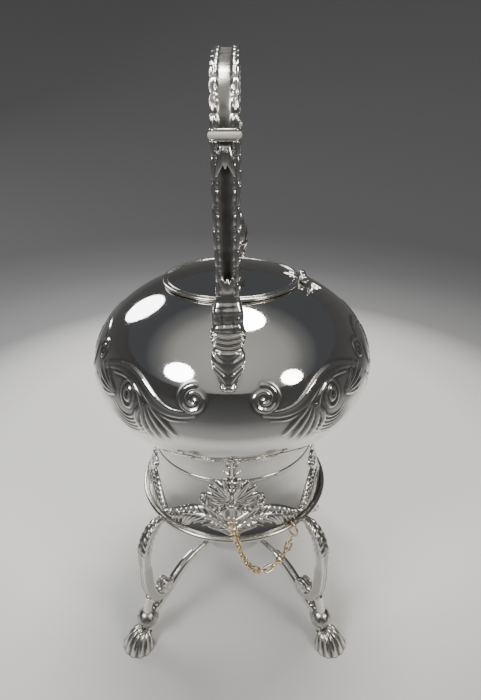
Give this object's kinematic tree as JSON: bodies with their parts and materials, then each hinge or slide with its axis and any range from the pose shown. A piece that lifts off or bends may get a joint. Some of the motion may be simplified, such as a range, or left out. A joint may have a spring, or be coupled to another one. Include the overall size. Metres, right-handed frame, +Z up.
{
  "type": "kettle on stand",
  "caption": "Oval silver kettle with overhead handle, hinged lid and spout, tilting on a footed stand with a spirit burner below.",
  "frame": {"origin": "on the table, under the kettle's vertical axis, midway between the feet", "axes": "+Z up, +Y towards the spout, +X towards the lid's hinge"},
  "size_m": [0.2068, 0.2563, 0.4273],
  "materials": {
    "polished_silver": "mirror-polished silver plate",
    "cast_silver": "bright cast silver with darker tarnish in the recesses",
    "silver_fittings": "turned silver fittings",
    "worn_gilt_chain": "silver plate worn warm over the base metal",
    "insulator": "off-white heat break",
    "wick": "woven cotton wick"
  },
  "bodies": {
    "stand": {"stand_ring": "cast_silver", "apron": "polished_silver", "apron_leaf_back": "cast_silver", "apron_leaf_right": "cast_silver", "apron_leaf_front": "cast_silver", "apron_leaf_left": "cast_silver", "leg_back_right": "cast_silver", "foot_back_right": "cast_silver", "brace_back_right": "cast_silver", "leg_front_right": "cast_silver", "foot_front_right": "cast_silver", "brace_front_right": "cast_silver", "leg_front_left": "cast_silver", "foot_front_left": "cast_silver", "brace_front_left": "cast_silver", "leg_back_left": "cast_silver", "foot_back_left": "cast_silver", "brace_back_left": "cast_silver", "burner_bars": "cast_silver", "burner_ring": "cast_silver", "tilt_bracket": "cast_silver", "tilt_pin": "silver_fittings", "lock_guide": "cast_silver", "chain_anchor": "worn_gilt_chain", "lock_chain": "worn_gilt_chain"},
    "kettle": {"kettle_body": "polished_silver", "mouth_collar": "polished_silver", "spout": "polished_silver", "tilt_lug": "cast_silver", "lock_lug": "cast_silver", "handle_mount_rear": "cast_silver", "handle_mount_front": "cast_silver", "handle_arm_rear": "cast_silver", "handle_arm_front": "cast_silver", "handle_insulator_rear": "insulator", "handle_insulator_front": "insulator", "handle_grip": "cast_silver", "handle_pins": "silver_fittings", "body_hinge_leaf": "cast_silver", "lid_hinge_pin": "silver_fittings"},
    "lid": {"lid_dome": "polished_silver", "lid_rim": "cast_silver", "lid_flange": "polished_silver", "lid_hinge_leaf": "cast_silver", "finial_calyx": "cast_silver", "finial_bud": "cast_silver", "finial_nut": "silver_fittings"},
    "lock_pin": {"lock_pin": "cast_silver", "lock_pin_ring": "worn_gilt_chain"},
    "burner": {"burner_reservoir": "polished_silver", "burner_top": "silver_fittings", "burner_wick": "wick", "snuffer_pin": "silver_fittings"},
    "snuffer": {"snuffer_cap": "cast_silver"}
  },
  "joints": [
    {"name": "kettle_tilt", "type": "hinge", "parent": "stand", "child": "kettle", "pos_m": [0, 0.074, 0.173], "axis": [-1, 0, 0], "range_deg": [0, 55]},
    {"name": "lid_hinge", "type": "hinge", "parent": "kettle", "child": "lid", "pos_m": [0.0509, 0, 0.2884], "axis": [0, 1, 0], "range_deg": [0, 100]},
    {"name": "lock_pin_slide", "type": "slide", "parent": "stand", "child": "lock_pin", "axis": [0, 1, 0], "range_m": [0, 0.009], "deforming": ["lock_chain"]},
    {"name": "burner_lift", "type": "slide", "parent": "stand", "child": "burner", "axis": [0, 0, 1], "range_m": [0, 0.025]},
    {"name": "snuffer_hinge", "type": "hinge", "parent": "burner", "child": "snuffer", "pos_m": [0.0102, 0, 0.093], "axis": [0, 1, 0], "range_deg": [0, 110]}
  ]
}
